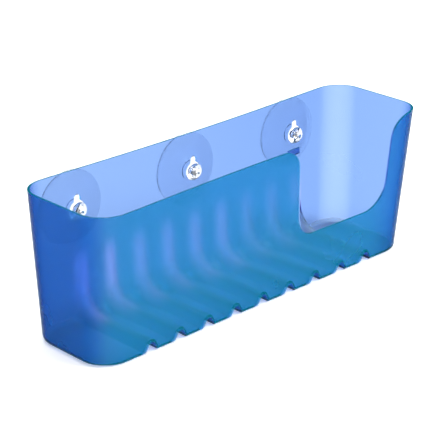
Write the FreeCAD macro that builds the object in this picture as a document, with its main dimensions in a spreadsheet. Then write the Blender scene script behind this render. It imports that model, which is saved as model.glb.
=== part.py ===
"""Wall caddy: a translucent plastic tray that hangs on three soft suction cups.

Frame: +X to the right along the tray, front wall towards -Y, +Z up.
Origin: middle of the overall length and depth, at the level of the feet.
Units: millimetres.
"""

import FreeCAD, Part
import Sketcher

import os
from math import radians

Vector = FreeCAD.Vector

DIMENSIONS = {
    # tray outline at the rim and at the feet
    "rim_length": 350.0,
    "rim_depth": 100.9,
    "tray_height": 127.8,
    "base_length": 339.1,
    "base_front": 35.5,
    "base_back": 50.45,
    "wall": 2.0,
    "front_corner": 24.5,
    "back_corner": 22.7,
    "rim_bow_front": 4.75,
    "rim_bow_back": 4.1,
    "base_bow_front": 0.5,
    "base_bow_back": 1.0,
    "end_edge_radius": 6.1,
    "front_edge_radius": 3.5,
    # flutes that stiffen the floor and the foot of the back wall
    "flute_count": 9,
    "flute_pitch": 29.75,
    "flute_crest": 12.6,
    "flute_flank": 28.0,
    "flute_reach": 9.0,
    "flute_rounding": 3.0,
    "flute_top": 80.0,
    "flute_lean": 10.5,
    "flute_bend": 17.0,
    # opening in the front wall
    "cutout_left_top": 32.0,
    "cutout_left_sill": 37.0,
    "cutout_right_top": 137.5,
    "cutout_right_sill": 134.8,
    "cutout_sill": 48.0,
    "cutout_left_foot": 17.0,
    "cutout_right_foot": 24.0,
    "cutout_left_brow": 17.0,
    "cutout_right_brow": 20.0,
    # keyholes, each with its round hole on the axis of its suction cup
    "cup_spacing": 118.7,
    "cup_axis": 93.8,
    "slot_width": 5.9,
    "slot_reach": 12.9,
    "keyhole_round": 15.5,
    "keyhole_blend": 1.5,
    # ledge under the right keyhole
    "ledge_end": 123.4,
    "ledge_length": 14.0,
    "ledge_height": 5.2,
    "ledge_depth": 1.4,
    "ledge_top": 81.2,
    # suction cup, along its axis from the plane under its head
    "head_gap": 0.7,
    "head_diameter": 13.6,
    "head_height": 4.2,
    "head_edge": 1.2,
    "head_dome": 8.0,
    "dimple_diameter": 5.0,
    "dimple_depth": 1.1,
    "neck_diameter": 5.4,
    "neck_length": 5.3,
    "boss_diameter": 17.0,
    "boss_edge": 0.9,
    "cup_diameter": 61.0,
    "cup_depth": 6.8,
    "cup_dome": 70.0,
    "cup_wall": 2.4,
    "lip_width": 1.6,
    "lip_edge": 0.8,
}

# place of each suction cup, counted in cup spacings from the middle
CUP_PLACES = {"left": -1, "middle": 0, "right": 1}
# two points nearer than this are the same point
TOUCH = 0.01
# how far a long side keeps straight from its corner and from its middle, as shares of its half length
CORNER_SHARE, MIDDLE_SHARE = 0.12, 0.5
# zero as a formula
NOTHING = "0 * Size.wall"


def make_sheet(doc):
    """Spreadsheet with one row for each driving dimension."""
    sheet = doc.addObject("Spreadsheet::Sheet", "Size")
    for row, (alias, number) in enumerate(DIMENSIONS.items(), start=1):
        sheet.set(f"A{row}", alias)
        sheet.set(f"B{row}", str(number))
        sheet.setAlias(f"B{row}", alias)
    doc.recompute()


def number(doc, formula):
    """Present value of a formula over the spreadsheet."""
    result = doc.Size.evalExpression(str(formula))
    return float(getattr(result, "Value", result))


# ---------------------------------------------------------------- sketches

def new_sketch(body, name, role):
    """Empty sketch on one of the body's own origin planes."""
    sketch = body.newObject("Sketcher::SketchObject", name)
    plane = [item for item in body.Origin.OriginFeatures if item.Role == role][0]
    sketch.AttachmentSupport = [(plane, "")]
    sketch.MapMode = "FlatFace"
    return sketch


def drive(sketch, kind, name, ends, formula):
    """Named dimension of a sketch, bound to a formula over the spreadsheet."""
    start = number(sketch.Document, formula)
    index = sketch.addConstraint(Sketcher.Constraint(kind, *ends, start))
    sketch.renameConstraint(index, name)
    sketch.setExpression(f"Constraints.{name}", formula)


def pin(sketch, geometry, vertex, name, x, y):
    """Hold a point of a sketch at (x formula, y formula) from the sketch's origin."""
    for kind, axis, formula, axis_line in (("DistanceX", "x", x, -2), ("DistanceY", "y", y, -1)):
        if abs(number(sketch.Document, formula)) < TOUCH:
            sketch.addConstraint(Sketcher.Constraint("PointOnObject", geometry, vertex, axis_line))
        else:
            drive(sketch, kind, f"{name}_{axis}", (-1, 1, geometry, vertex), formula)


def bend(start, end, radius):
    """Arc between two points that turns left where radius is positive and right where it is negative."""
    chord = end - start
    across = Vector(-chord.y, chord.x, 0).normalize()
    rise = (radius ** 2 - (chord.Length / 2) ** 2) ** 0.5
    centre = (start + end) / 2 + across * (rise if radius > 0 else -rise)
    circle = Part.Circle(centre, Vector(0, 0, 1), abs(radius))
    first, last = (start, end) if radius > 0 else (end, start)
    return Part.ArcOfCircle(circle, circle.parameter(first), circle.parameter(last))


def profile(sketch, corners):
    """Closed outline through corners of (x formula, y formula), or (x, y, radius) where an arc follows.

    The radius is a formula with the sign that bend reads.
    """
    doc = sketch.Document
    points = [Vector(number(doc, corner[0]), number(doc, corner[1]), 0) for corner in corners]
    count = len(corners)
    tips = []
    for i, corner in enumerate(corners):
        start, end = points[i], points[(i + 1) % count]
        if len(corner) == 2:
            sketch.addGeometry(Part.LineSegment(start, end), False)
            tips.append((1, 2))
        else:
            radius = number(doc, corner[2])
            sketch.addGeometry(bend(start, end, radius), False)
            tips.append((1, 2) if radius > 0 else (2, 1))
    for i in range(count):
        after = (i + 1) % count
        sketch.addConstraint(Sketcher.Constraint("Coincident", i, tips[i][1], after, tips[after][0]))
    for i, corner in enumerate(corners):
        pin(sketch, i, tips[i][0], f"corner_{i}", corner[0], corner[1])
        if len(corner) == 3:
            drive(sketch, "Radius", f"radius_{i}", (i,), f"abs({corner[2]})")
    doc.recompute()


# ---------------------------------------------------------------- features

def pad(body, sketch, length, length_back=None, taper=None):
    """Pad of a sketch; with length_back it grows both ways, and taper narrows it on both sides."""
    feature = body.newObject("PartDesign::Pad", f"{sketch.Name}_pad")
    feature.Profile = sketch
    feature.setExpression("Length", length)
    if length_back:
        feature.SideType = "Two sides"
        feature.setExpression("Length2", length_back)
    if taper:
        feature.setExpression("TaperAngle", taper)
        feature.setExpression("TaperAngle2", taper)
    body.Document.recompute()
    return feature


def edges_where(shape, test):
    """Numbers of the edges whose every sampled point passes a test."""
    found = []
    for index, edge in enumerate(shape.Edges, start=1):
        first, last = edge.ParameterRange
        points = [edge.valueAt(first + (last - first) * step / 4) for step in range(5)]
        if all(test(point) for point in points):
            found.append(index)
    return found


def round_edges(body, base, name, test, formula):
    """Fillet of the body's edges that pass a test, its radius bound to the spreadsheet."""
    fillet = body.newObject("PartDesign::Fillet", name)
    fillet.Base = (base, [f"Edge{index}" for index in edges_where(base.Shape, test)])
    fillet.setExpression("Radius", formula)
    body.Document.recompute()
    return fillet


def combine(doc, kind, name, shapes):
    """Part::MultiFuse, Part::Cut or Part::Common of objects."""
    result = doc.addObject(f"Part::{kind}", name)
    if kind == "MultiFuse":
        result.Shapes = shapes
    else:
        result.Base, result.Tool = shapes
    doc.recompute()
    return result


# ---------------------------------------------------------------- tray walls

def outline(doc, name, level, half, front, back, corners, bows):
    """Closed wire with round corners whose long sides curve gently inwards.

    half, front and back are the distances of the sides from the middle; corners and bows are
    (front, back) pairs. A side leaves both corners straight and is furthest in at its middle.
    """
    z = number(doc, level)
    half, front, back = (number(doc, item) for item in (half, front, back))
    front_corner, back_corner = (number(doc, item) for item in corners)
    front_bow, back_bow = (number(doc, item) for item in bows)

    def half_side(start, end):
        """Half of a long side, from a corner to the middle or from the middle to a corner."""
        shares = (CORNER_SHARE, MIDDLE_SHARE) if end[0] == 0 else (MIDDLE_SHARE, CORNER_SHARE)
        span = end[0] - start[0]
        after_start = (start[0] + shares[0] * span, start[1])
        before_end = (end[0] - shares[1] * span, end[1])
        curve = Part.BezierCurve()
        curve.setPoles([Vector(x, y, z) for x, y in (start, after_start, before_end, end)])
        return curve.toShape()

    def corner(x, y, radius, first):
        circle = Part.Circle(Vector(x, y, z), Vector(0, 0, 1), radius)
        return Part.ArcOfCircle(circle, radians(first), radians(first + 90)).toShape()

    def end_side(x, start, end):
        return Part.makeLine(Vector(x, start, z), Vector(x, end, z))

    near_x, near_y = half - front_corner, front_corner - front
    far_x, far_y = half - back_corner, back - back_corner
    wire = Part.Wire([
        half_side((-near_x, -front), (0, front_bow - front)),
        half_side((0, front_bow - front), (near_x, -front)),
        corner(near_x, near_y, front_corner, 270),
        end_side(half, near_y, far_y),
        corner(far_x, far_y, back_corner, 0),
        half_side((far_x, back), (0, back - back_bow)),
        half_side((0, back - back_bow), (-far_x, back)),
        corner(-far_x, far_y, back_corner, 90),
        end_side(-half, far_y, near_y),
        corner(-near_x, near_y, front_corner, 180),
    ])
    feature = doc.addObject("Part::Feature", name)
    feature.Shape = wire
    return feature


def hollow_form(doc, name, floor, offset, edge_front, edge_end):
    """Tapered solid of the tray's outside, or of its inside where offset is the wall thickness."""
    rise = f"({floor}) / Size.tray_height"
    corners = (f"Size.front_corner - {offset}", f"Size.back_corner - {offset}")
    base = outline(
        doc, f"{name}_base", floor,
        f"Size.base_length / 2 + (Size.rim_length - Size.base_length) / 2 * {rise} - {offset}",
        f"Size.base_front + (Size.rim_depth / 2 - Size.base_front) * {rise} - {offset}",
        f"Size.base_back + (Size.rim_depth / 2 - Size.base_back) * {rise} - {offset}",
        corners, ("Size.base_bow_front", "Size.base_bow_back"))
    rim = outline(
        doc, f"{name}_rim", "Size.tray_height", f"Size.rim_length / 2 - {offset}",
        f"Size.rim_depth / 2 - {offset}", f"Size.rim_depth / 2 - {offset}",
        corners, ("Size.rim_bow_front", "Size.rim_bow_back"))
    loft = doc.addObject("Part::Loft", f"{name}_loft")
    loft.Sections = [base, rim]
    loft.Solid = True
    loft.Ruled = True
    doc.recompute()

    level = number(doc, floor)
    front_line = (number(doc, "0 - Size.base_front + Size.front_corner")) - TOUCH
    at_front = number(doc, edge_front)
    at_ends = number(doc, edge_end)
    rounded = doc.addObject("Part::Fillet", name)
    rounded.Base = loft
    radii = []
    for index in edges_where(loft.Shape, lambda point: abs(point.z - level) < TOUCH):
        ends = [vertex.Point.y for vertex in loft.Shape.Edges[index - 1].Vertexes]
        first, last = (at_front if y < front_line else at_ends for y in (ends[0], ends[-1]))
        radii.append((index, first, last))
    rounded.Edges = radii
    doc.recompute()
    return rounded


def inward_bow(column, height):
    """How far the bowed back wall stands in at a place along X and a height, as a formula."""
    half = "(Size.rim_length / 2 - Size.back_corner)"
    depth = f"(Size.base_bow_back + (Size.rim_bow_back - Size.base_bow_back) * {height} / Size.tray_height)"
    return f"{depth} * (1 - (({column}) / {half}) ^ 2)"


# ---------------------------------------------------------------- flutes


def flute(doc, name, column, offset):
    """One flute across the floor and up the foot of the back wall, as the solid that it displaces.

    offset is 0 for the channel under the tray and the wall thickness for the ridge inside it. The
    side view is the line of the flute's crest; the taper gives the flanks.
    """
    body = doc.addObject("PartDesign::Body", name)
    side = new_sketch(body, f"{name}_side", "YZ_Plane")
    shift = f"{offset} / sin(Size.flute_flank)"
    crest = f"(Size.flute_crest + {shift})"
    radius = f"(Size.flute_bend - {shift})"
    wall_y = ("(Size.base_back + (Size.rim_depth / 2 - Size.base_back)"
              " * Size.flute_top / Size.tray_height)")
    slope = "(Size.flute_lean / (Size.flute_top - Size.flute_crest))"
    tilt = f"atan({slope})"
    foot = f"({wall_y} - ({shift}) / cos({tilt}) - (Size.flute_top - {crest}) * {slope})"
    reach = f"({radius} * tan((90 deg - {tilt}) / 2))"
    near, far, low = "-Size.rim_depth", "Size.rim_depth", "-2 * Size.flute_bend"
    high = "(Size.tray_height + Size.flute_bend)"
    profile(side, [
        (near, crest),
        (f"{foot} - {reach}", crest, radius),
        (f"{foot} + {reach} * sin({tilt})", f"{crest} + {reach} * cos({tilt})"),
        (f"{foot} + ({high} - {crest}) * {slope}", high),
        (far, high),
        (far, low),
        (near, low),
    ])
    solid = pad(body, side, "Size.flute_reach", "Size.flute_reach", "Size.flute_flank - 90")
    right, bottom = number(doc, far) - TOUCH, number(doc, low) + TOUCH
    round_edges(body, solid, f"{name}_round",
                lambda point: abs(point.x) < TOUCH and point.y < right and point.z > bottom,
                f"Size.flute_rounding + {offset}")
    body.setExpression("Placement.Base.x", column)
    body.setExpression("Placement.Base.y", f"-({inward_bow(column, 'Size.flute_top / 3')})")
    doc.recompute()
    return body


def flute_set(doc, name, offset):
    """All the flutes, side by side about the middle of the tray."""
    count = int(number(doc, "Size.flute_count"))
    bodies = []
    for index in range(count):
        place = f"({index} - (Size.flute_count - 1) / 2) * Size.flute_pitch"
        bodies.append(flute(doc, f"{name}_{index + 1}", place, offset))
    return combine(doc, "MultiFuse", f"{name}s", bodies)


# ---------------------------------------------------------------- openings and ledge

def make_cutout(doc):
    """Tool for the low part of the front wall: a tapering gap with rounded feet and rounded brows."""
    body = doc.addObject("PartDesign::Body", "front_cutout")
    front = new_sketch(body, "cutout_front", "XZ_Plane")
    rim, above = "Size.tray_height", "(Size.tray_height + Size.wall)"
    spare = "(Size.cutout_right_brow + Size.wall)"
    profile(front, [
        ("Size.cutout_left_sill", "Size.cutout_sill"),
        ("Size.cutout_right_sill", "Size.cutout_sill"),
        ("Size.cutout_right_top", rim),
        (f"Size.cutout_right_top + {spare}", rim),
        (f"Size.cutout_right_top + {spare}", above),
        (f"Size.cutout_left_top - {spare}", above),
        (f"Size.cutout_left_top - {spare}", rim),
        ("Size.cutout_left_top", rim),
    ])
    solid = pad(body, front, "Size.wall + Size.base_front", "Size.wall + Size.base_front")
    for corner, radius in (("left_sill", "left_foot"), ("right_sill", "right_foot"),
                           ("left_top", "left_brow"), ("right_top", "right_brow")):
        x = number(doc, f"Size.cutout_{corner}")
        z = number(doc, "Size.cutout_sill" if corner.endswith("sill") else rim)
        solid = round_edges(body, solid, f"cutout_{radius}",
                            lambda point: abs(point.x - x) < TOUCH and abs(point.z - z) < TOUCH,
                            f"Size.cutout_{radius}")
    body.setExpression("Placement.Base.y", "-(Size.rim_depth / 2 + Size.wall)")
    doc.recompute()
    return body


def make_keyhole(doc, side, place):
    """Tool for one keyhole: a round hole with a narrow slot above it, blended where they meet."""
    body = doc.addObject("PartDesign::Body", f"keyhole_{side}")
    radius, half = "Size.keyhole_round / 2", "Size.slot_width / 2"
    depth = "Size.rim_depth / 4"
    shoulder = f"(Size.slot_reach - {half})"
    slot = new_sketch(body, f"keyhole_{side}_slot", "XZ_Plane")
    profile(slot, [(half, NOTHING), (half, shoulder), (f"-{half}", shoulder), (f"-{half}", NOTHING)])
    pad(body, slot, depth, depth)
    for name, size, height in (("top", half, shoulder), ("round", radius, NOTHING)):
        disc = new_sketch(body, f"keyhole_{side}_{name}", "XZ_Plane")
        circle = Part.Circle(Vector(0, number(doc, height), 0), Vector(0, 0, 1), number(doc, size))
        disc.addGeometry(circle, False)
        pin(disc, 0, 3, "centre", NOTHING, height)
        drive(disc, "Radius", "radius", (0,), size)
        solid = pad(body, disc, depth, depth)
    half_slot, hole_radius = number(doc, half), number(doc, radius)
    meeting = (hole_radius ** 2 - half_slot ** 2) ** 0.5
    round_edges(body, solid, f"keyhole_{side}_blend",
                lambda point: abs(abs(point.x) - half_slot) < TOUCH and abs(point.z - meeting) < TOUCH,
                "Size.keyhole_blend")
    body.setExpression("Placement.Base.x", f"{place} * Size.cup_spacing")
    body.setExpression("Placement.Base.y", "Size.rim_depth / 2")
    body.setExpression("Placement.Base.z", "Size.cup_axis")
    doc.recompute()
    return body


def make_ledge(doc):
    """Short bar on the inside of the back wall, under the right keyhole."""
    ledge = doc.addObject("Part::Box", "ledge")
    ledge.setExpression("Length", "Size.ledge_length")
    ledge.setExpression("Height", "Size.ledge_height")
    ledge.setExpression("Width", "Size.ledge_depth + Size.wall / 2")
    inner_face = f"(Size.rim_depth / 2 - Size.wall - {inward_bow('Size.ledge_end', 'Size.ledge_top')})"
    ledge.setExpression("Placement.Base.x", "Size.ledge_end - Size.ledge_length")
    ledge.setExpression("Placement.Base.y", f"{inner_face} - Size.ledge_depth")
    ledge.setExpression("Placement.Base.z", "Size.ledge_top - Size.ledge_height")
    doc.recompute()
    return ledge


def make_tray(doc):
    outside = hollow_form(doc, "outside", NOTHING, NOTHING,
                          "Size.front_edge_radius", "Size.end_edge_radius")
    inside = hollow_form(doc, "inside", "Size.wall", "Size.wall",
                         "Size.front_edge_radius - Size.wall", "Size.end_edge_radius - Size.wall")
    form = combine(doc, "Cut", "fluted_outside", (outside, flute_set(doc, "channel", NOTHING)))
    space = combine(doc, "Cut", "ridged_inside", (inside, flute_set(doc, "ridge", "Size.wall")))
    walls = combine(doc, "Cut", "walls", (form, space))
    tools = [make_cutout(doc)]
    tools += [make_keyhole(doc, side, place) for side, place in CUP_PLACES.items()]
    openings = combine(doc, "MultiFuse", "openings", tools)
    opened = combine(doc, "Cut", "opened_walls", (walls, openings))
    tray = combine(doc, "MultiFuse", "tray", [opened, make_ledge(doc)])
    return tray


# ---------------------------------------------------------------- suction cups

def head_plane(place):
    """Where the underside of a cup's head stands along Y: just in front of the bowed back wall."""
    bow = inward_bow(f"{place} * Size.cup_spacing", "Size.cup_axis")
    return f"(Size.rim_depth / 2 - Size.wall - {bow} - Size.head_gap)"


def origin_shift():
    """Distance from the middle of the rim to the middle of the whole depth, cups included."""
    return f"(({head_plane(1)} + Size.neck_length + Size.cup_depth - Size.rim_depth / 2) / 2)"


def make_cup(doc, side, place):
    """One-piece suction cup: mushroom head inside the tray, neck through the keyhole, cup behind."""
    body = doc.addObject("PartDesign::Body", f"cup_{side}")
    section = new_sketch(body, f"cup_{side}_section", "XY_Plane")
    axis = NOTHING
    head, neck = "Size.head_diameter / 2", "Size.neck_diameter / 2"
    boss, rim = "Size.boss_diameter / 2", "Size.cup_diameter / 2"
    dimple = "(Size.dimple_diameter / 2)"
    dimple_radius = f"(({dimple} ^ 2 + Size.dimple_depth ^ 2) / 2 / Size.dimple_depth)"
    mouth = "(Size.cup_diameter / 2 - Size.lip_width)"
    hollow = "(Size.cup_depth - Size.cup_wall)"
    hollow_radius = f"(({mouth} ^ 2 + {hollow} ^ 2) / 2 / {hollow})"
    lip = "(Size.neck_length + Size.cup_depth)"
    profile(section, [
        (axis, "Size.dimple_depth - Size.head_height", dimple_radius),
        (dimple, "-Size.head_height", "Size.head_dome"),
        (head, "-Size.head_edge"),
        (head, axis),
        (neck, axis),
        (neck, "Size.neck_length"),
        (boss, "Size.neck_length"),
        (boss, "Size.neck_length + Size.boss_edge", "Size.cup_dome"),
        (rim, f"{lip} - Size.lip_edge"),
        (rim, lip),
        (mouth, lip, f"-{hollow_radius}"),
        (axis, f"{lip} - {hollow}"),
    ])
    turned = body.newObject("PartDesign::Revolution", f"cup_{side}_turned")
    turned.Profile = section
    turned.ReferenceAxis = (section, ["V_Axis"])
    turned.Angle = 360
    body.Label = f"suction_cup_{side}"
    body.setExpression("Placement.Base.x", f"{place} * Size.cup_spacing")
    body.setExpression("Placement.Base.y", f"{head_plane(place)} - {origin_shift()}")
    body.setExpression("Placement.Base.z", "Size.cup_axis")
    doc.recompute()
    return body


# ---------------------------------------------------------------- document

def check(doc, pieces):
    """Stop where any object failed or any piece has no sound solid."""
    for item in doc.Objects:
        if {"Invalid", "Error"} & set(item.State):
            raise RuntimeError(f"{item.Name} failed: {item.State}")
    for piece in pieces:
        if piece.Shape.isNull() or not piece.Shape.isValid() or not piece.Shape.Solids:
            raise RuntimeError(f"{piece.Label} has no sound solid")


def main():
    doc = FreeCAD.newDocument("WallCaddy")
    make_sheet(doc)
    tray = make_tray(doc)
    tray.Label = "basket_tray"
    tray.setExpression("Placement.Base.y", f"-{origin_shift()}")
    pieces = [tray] + [make_cup(doc, side, place) for side, place in CUP_PLACES.items()]
    doc.recompute()
    check(doc, pieces)
    os.makedirs("parts", exist_ok=True)
    for piece in pieces:
        piece.Shape.exportStep(os.path.join("parts", f"{piece.Label}.step"))
        box = piece.Shape.optimalBoundingBox(False, False)
        print(f"{piece.Label}: {len(piece.Shape.Solids)} solid, {piece.Shape.Volume:.0f} mm3,"
              f" y {box.YMin:.2f} to {box.YMax:.2f}, z {box.ZMin:.2f} to {box.ZMax:.2f}")


main()
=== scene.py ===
from math import cos, radians, sin

import bpy
from mathutils import Matrix, Vector


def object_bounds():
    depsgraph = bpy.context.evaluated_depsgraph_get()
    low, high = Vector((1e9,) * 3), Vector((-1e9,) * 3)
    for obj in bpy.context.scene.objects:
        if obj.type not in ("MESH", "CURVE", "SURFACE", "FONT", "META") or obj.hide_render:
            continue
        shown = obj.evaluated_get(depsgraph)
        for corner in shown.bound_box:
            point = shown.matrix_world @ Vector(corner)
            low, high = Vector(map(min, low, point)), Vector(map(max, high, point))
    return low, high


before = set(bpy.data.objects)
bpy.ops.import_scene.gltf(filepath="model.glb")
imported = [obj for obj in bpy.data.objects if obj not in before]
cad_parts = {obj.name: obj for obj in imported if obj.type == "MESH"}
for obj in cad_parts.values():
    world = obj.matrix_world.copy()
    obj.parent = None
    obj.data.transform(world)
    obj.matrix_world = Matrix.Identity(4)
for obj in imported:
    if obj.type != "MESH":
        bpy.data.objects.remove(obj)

MM = 0.001
CAD_LOW, CAD_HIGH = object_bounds()
CUPS = ("suction_cup_left", "suction_cup_middle", "suction_cup_right")


def rgb(red, green, blue):
    return (red, green, blue, 1.0)


# The blue plastic: its skin, its dye, a thin milky layer on its outside, a paler layer that paints light on
# its floor, and painted shade on its ends and rim.
SATIN, SATIN_SPREAD, BODY_IOR = 0.24, 0.05, 1.1
CLOUD_SCALE = 14.0
DYE_COLOUR, DYE_DENSITY = rgb(0.068, 0.355, 0.76), 700.0
INSIDE_DARK, INSIDE_LIGHT = rgb(0.93, 0.94, 0.91), rgb(0.97, 0.96, 0.93)
# The ends' tint is painted shade, darker than the rest of the outside.
OUTSIDE_TINT, PAINTED_END_SHADE = rgb(1.0, 0.84, 1.0), rgb(0.16, 0.64, 1.0)
# The ends' smaller milky share is painted shade too.
BLOOM_COLOUR, BLOOM_SHARE, END_BLOOM_SHARE = rgb(0.0, 0.38, 0.54), 0.30, 0.10
# Painted light: a paler milky layer on the tray floor's upward faces.
PAINTED_FLOOR_LIGHT, PAINTED_FLOOR_LIGHT_SHARE = rgb(0.48, 0.74, 1.0), 0.42
# Painted shade: a dark teal layer on the rim's top edges.
PAINTED_RIM_SHADE, PAINTED_RIM_SHADE_SHARE = rgb(0.0, 0.17, 0.25), 0.65

# The flutes: nine at one pitch, the middle one at X = 0. Their crests carry a painted violet glow, which
# stands in for the light that the flutes catch; it is weaker by BARED_LOSS where the cut-out bares them.
FLUTE_PITCH = 29.75 * MM
LAST_FLUTE = 4
PAINTED_GLOW_COLOUR, PAINTED_GLOW_STRENGTH = rgb(1.0, 0.42, 0.66), 0.95
BARED_LOSS = 0.40

# The clear cups.
VINYL_DARK, VINYL_LIGHT = rgb(0.91, 0.93, 0.96), rgb(0.96, 0.97, 0.99)
VINYL_IOR, VINYL_ROUGHNESS, VINYL_SPREAD = 1.5, 0.07, 0.04
FLOW_SCALE, FLOW_DEPTH, FLOW_STRENGTH = 60.0, 0.15 * MM, 0.15

# The stage: a floor that reaches past the picture, white surroundings, a soft light and a broad one overhead.
FLOOR_REACH, FLOOR_DROP = 12.0, 0.1 * MM
FLOOR_WHITE, FLOOR_GLOW = rgb(0.95, 0.95, 0.95), 0.35
WHITE, SKY_STRENGTH = rgb(1.0, 1.0, 1.0), 0.32
KEY_AWAY, KEY_SIDE, KEY_POWER = Vector((0.9, -1.4, 1.2)), 0.9, 32.0
OVERHEAD_STRENGTH, OVERHEAD_SPREAD = 2.5, radians(40)


# ---------------------------------------------------------------- node helpers

class Nodes:
    """Short way to build a material's node tree."""

    def __init__(self, name):
        self.material = bpy.data.materials.new(name)
        self.material.use_nodes = True
        self.tree = self.material.node_tree
        self.tree.nodes.clear()
        self.output = self.tree.nodes.new("ShaderNodeOutputMaterial")
        self.place = self.add("TexCoord").outputs["Object"]

    def add(self, kind, **inputs):
        """New node. Each keyword is an input's name, with _ for a space; it takes a value or a socket."""
        node = self.tree.nodes.new(f"ShaderNode{kind}")
        for name, value in inputs.items():
            self.feed(node.inputs[name.replace("_", " ")], value)
        return node

    def feed(self, socket, value):
        if isinstance(value, bpy.types.NodeSocket):
            self.tree.links.new(value, socket)
        else:
            socket.default_value = value

    def math(self, operation, *values):
        node = self.add("Math")
        node.operation = operation
        for socket, value in zip(node.inputs, values):
            self.feed(socket, value)
        return node.outputs[0]

    def product(self, first, *factors):
        for factor in factors:
            first = self.math("MULTIPLY", first, factor)
        return first

    def vector(self, operation, *values):
        """Vector Math node; its Value and Vector are outputs."""
        node = self.add("VectorMath")
        node.operation = operation
        for socket, value in zip(node.inputs, values):
            self.feed(socket, value)
        return node.outputs

    def mix(self, share, first, second):
        node = self.add("Mix")
        node.data_type = "RGBA"
        self.feed(node.inputs["Factor"], share)
        colours = [socket for socket in node.inputs if socket.type == "RGBA"]
        self.feed(colours[0], first)
        self.feed(colours[1], second)
        return [socket for socket in node.outputs if socket.type == "RGBA"][0]

    def ramp(self, value, low, high):
        """0 at low and 1 at high, smooth between; low may be the larger."""
        node = self.add("MapRange", Value=value, From_Min=low, From_Max=high)
        node.interpolation_type = "SMOOTHSTEP"
        return node.outputs[0]

    def noise(self, scale):
        return self.add("TexNoise", Vector=self.place, Scale=scale, Detail=3.0).outputs["Fac"]

    def part(self, vector, axis):
        return self.add("SeparateXYZ", Vector=vector).outputs[axis]

    def normal(self):
        return self.add("NewGeometry").outputs["Normal"]

    def front(self):
        """1 on a face seen from its open side, 0 on one seen from within the wall."""
        return self.math("SUBTRACT", 1.0, self.add("NewGeometry").outputs["Backfacing"])

    def cover(self, surface, share, colour):
        """A thin diffuse layer over part of a surface."""
        node = self.add("MixShader")
        self.feed(node.inputs[0], share)
        self.tree.links.new(surface, node.inputs[1])
        self.tree.links.new(self.add("BsdfDiffuse", Color=colour).outputs[0], node.inputs[2])
        return node.outputs[0]


# ---------------------------------------------------------------- where on the tray

def outside_faces(n):
    """1 on the tray's outside, whose faces point away from a place above its middle; 0 on its inside.

    The depth counts more, as the tray is much longer than it is deep."""
    from_above = n.vector("MULTIPLY_ADD", n.place, (1.0, 4.0, 1.0), (0.0, 0.0, -0.2))["Vector"]
    away = n.vector("DOT_PRODUCT", n.normal(), from_above)["Value"]
    return n.product(n.ramp(away, -0.01, 0.01), n.front())


def shaded_ends(n):
    """Where painted shade darkens the ends: 1 on the left end's face and, fading in from beside the cut-out,
    at the right end; 0 between them.
    """
    left = n.ramp(n.part(n.normal(), "X"), -0.50, -0.99)
    right = n.ramp(n.part(n.place, "X"), 116 * MM, 160 * MM)
    return n.math("MAXIMUM", left, right)


def lit_floor_faces(n):
    """1 on the upward faces of the tray's floor, the flutes' flanks too, where a paler milky layer paints
    light.
    """
    upward = n.ramp(n.part(n.normal(), "Z"), 0.10, 0.45)
    low = n.ramp(n.part(n.place, "Z"), 30 * MM, 22 * MM)
    return n.product(upward, low, n.front())


def shaded_rim_faces(n):
    """1 on the upward edges of the tray's walls and on the ledge's top, where a dark teal layer paints shade.
    """
    upward = n.ramp(n.part(n.normal(), "Z"), 0.25, 0.60)
    high = n.ramp(n.part(n.place, "Z"), 36 * MM, 44 * MM)
    return n.product(upward, high, n.front())


def painted_flute_glow(n):
    """1 along the crest of each flute up the back wall, 0 between the flutes; there a painted violet glow
    stands in for the light that the flutes catch.

    It is less where the cut-out bares the wall, and nothing at the foot of the last flute."""
    x, y, z = (n.part(n.place, axis) for axis in "XYZ")
    from_crest = n.math("PINGPONG", n.math("ADD", x, FLUTE_PITCH * LAST_FLUTE), FLUTE_PITCH / 2)
    crest = n.ramp(from_crest, 8.8 * MM, 0.5 * MM)
    height = n.ramp(z, 66 * MM, 46 * MM)
    row = n.ramp(n.math("ABSOLUTE", x), FLUTE_PITCH * (LAST_FLUTE + 0.5), FLUTE_PITCH * (LAST_FLUTE + 0.4))
    rear = n.ramp(y, 2 * MM, 22 * MM)
    facing = n.ramp(n.vector("DOT_PRODUCT", n.normal(), (0.0, -1.0, 0.6))["Value"], 0.0, 0.2)
    last_foot = n.product(n.ramp(x, 100 * MM, 112 * MM), n.ramp(z, 38 * MM, 26 * MM))
    unwashed = n.math("SUBTRACT", 1.0, last_foot)
    bared = n.ramp(x, 40 * MM, 55 * MM)
    dimmed = n.math("MULTIPLY_ADD", bared, -BARED_LOSS, 1.0)
    return n.product(crest, height, unwashed, dimmed, row, n.front(), facing, rear)


# ---------------------------------------------------------------- materials

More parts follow.
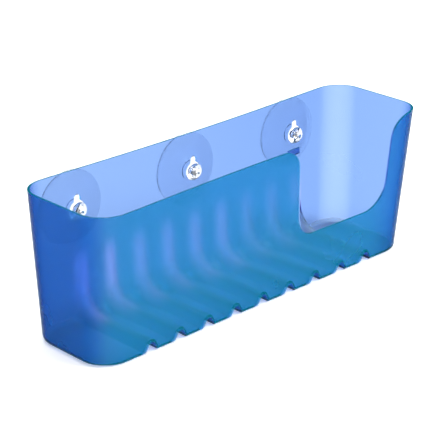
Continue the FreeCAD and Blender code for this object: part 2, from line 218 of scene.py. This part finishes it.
def frosted_plastic():
    """Dyed translucent plastic: dye in its depth, a satin skin that blurs, and a milky outside."""
    n = Nodes("frosted_blue_plastic")
    cloud = n.noise(CLOUD_SCALE)
    outside, end = outside_faces(n), shaded_ends(n)
    inside_tint = n.mix(cloud, INSIDE_DARK, INSIDE_LIGHT)
    # Painted shade: the ends take a darker tint.
    tint = n.mix(outside, inside_tint, n.mix(end, OUTSIDE_TINT, PAINTED_END_SHADE))
    body = n.add("BsdfPrincipled", Base_Color=tint, IOR=BODY_IOR, Transmission_Weight=1.0)
    n.feed(body.inputs["Roughness"], n.math("MULTIPLY_ADD", cloud, SATIN_SPREAD, SATIN))
    # Painted light: the flutes' crests glow violet, standing in for the light they catch.
    n.feed(body.inputs["Emission Color"], PAINTED_GLOW_COLOUR)
    n.feed(body.inputs["Emission Strength"], n.product(painted_flute_glow(n), PAINTED_GLOW_STRENGTH))
    # Painted shade: the ends carry less of the milky layer.
    milkiness = n.math("MULTIPLY_ADD", end, END_BLOOM_SHARE - BLOOM_SHARE, BLOOM_SHARE)
    surface = n.cover(body.outputs[0], n.product(outside, milkiness), BLOOM_COLOUR)
    # Painted light: a paler milky layer on the floor's upward faces.
    surface = n.cover(surface, n.product(lit_floor_faces(n), PAINTED_FLOOR_LIGHT_SHARE), PAINTED_FLOOR_LIGHT)
    # Painted shade: a dark teal layer on the rim's top edges.
    surface = n.cover(surface, n.product(shaded_rim_faces(n), PAINTED_RIM_SHADE_SHARE), PAINTED_RIM_SHADE)
    n.tree.links.new(surface, n.output.inputs["Surface"])
    dye = n.add("VolumeAbsorption", Color=DYE_COLOUR, Density=DYE_DENSITY)
    n.tree.links.new(dye.outputs[0], n.output.inputs["Volume"])
    return n.material


def clear_vinyl():
    """Soft clear PVC: glossy, almost colourless, faintly uneven."""
    n = Nodes("clear_vinyl")
    flow = n.noise(FLOW_SCALE)
    tint = n.mix(flow, VINYL_DARK, VINYL_LIGHT)
    bump = n.add("Bump", Strength=FLOW_STRENGTH, Distance=FLOW_DEPTH, Height=flow).outputs[0]
    vinyl = n.add("BsdfPrincipled", Base_Color=tint, IOR=VINYL_IOR, Normal=bump, Transmission_Weight=1.0)
    n.feed(vinyl.inputs["Roughness"], n.math("MULTIPLY_ADD", flow, VINYL_SPREAD, VINYL_ROUGHNESS))
    n.tree.links.new(vinyl.outputs[0], n.output.inputs["Surface"])
    return n.material


def dress(node, material):
    """Give a carried-over CAD node its material."""
    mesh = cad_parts[node].data
    mesh.materials.clear()
    mesh.materials.append(material)


# ---------------------------------------------------------------- stage

def link(name, data):
    holder = bpy.data.objects.new(name, data)
    bpy.context.scene.collection.objects.link(holder)
    return holder


def make_floor():
    """A plain pale floor. Its slight glow keeps the shadow round the tray faint."""
    half = FLOOR_REACH
    mesh = bpy.data.meshes.new("floor")
    corners = [(-half, -half, 0), (half, -half, 0), (half, half, 0), (-half, half, 0)]
    mesh.from_pydata(corners, [], [(0, 1, 2, 3)])
    floor = link("floor", mesh)
    floor.location.z = CAD_LOW.z - FLOOR_DROP
    n = Nodes("pale_floor")
    plain = n.add("BsdfPrincipled", Base_Color=FLOOR_WHITE, Roughness=1.0, Specular_IOR_Level=0.0)
    n.feed(plain.inputs["Emission Color"], WHITE)
    n.feed(plain.inputs["Emission Strength"], FLOOR_GLOW)
    n.tree.links.new(plain.outputs[0], n.output.inputs["Surface"])
    mesh.materials.append(n.material)


def make_lights():
    """White surroundings, one large soft light from the front right, and a broad light from overhead."""
    world = bpy.data.worlds.new("studio")
    world.use_nodes = True
    sky = world.node_tree.nodes["Background"]
    sky.inputs["Color"].default_value = WHITE
    sky.inputs["Strength"].default_value = SKY_STRENGTH
    bpy.context.scene.world = world
    key = bpy.data.lights.new("key", "AREA")
    key.shape = "RECTANGLE"
    key.size = key.size_y = KEY_SIDE
    key.energy = KEY_POWER
    holder = link("key", key)
    holder.location = (CAD_LOW + CAD_HIGH) / 2 + KEY_AWAY
    holder.rotation_mode = "QUATERNION"
    holder.rotation_quaternion = (-KEY_AWAY).to_track_quat("-Z", "Y")
    overhead = bpy.data.lights.new("overhead", "SUN")
    overhead.energy = OVERHEAD_STRENGTH
    overhead.angle = OVERHEAD_SPREAD
    link("overhead", overhead)


def make_camera():
    """The photo's camera: front left, from above, rolled a little."""
    azimuth, elevation, roll = radians(-42.23), radians(22.64), radians(-1.40)
    distance = 1.4325
    target = Vector((-0.01358, -0.00406, 0.06778))
    focal_share = 4.0704
    back = Vector((sin(azimuth) * cos(elevation), -cos(azimuth) * cos(elevation), sin(elevation)))
    level = Vector((0, 0, 1)).cross(back).normalized()
    upright = back.cross(level)
    across = cos(roll) * level + sin(roll) * upright
    up = cos(roll) * upright - sin(roll) * level
    data = bpy.data.cameras.new("camera")
    data.sensor_width = 36.0
    data.lens = focal_share * data.sensor_width
    data.clip_start, data.clip_end = 0.05, 50.0
    camera = link("camera", data)
    turn = Matrix((across, up, back)).transposed()
    camera.matrix_world = Matrix.Translation(target + back * distance) @ turn.to_4x4()
    bpy.context.scene.camera = camera


# ---------------------------------------------------------------- scene

bpy.context.scene.view_settings.view_transform = "Standard"
make_camera()
make_floor()
make_lights()
dress("basket_tray", frosted_plastic())
vinyl = clear_vinyl()
for cup in CUPS:
    dress(cup, vinyl)
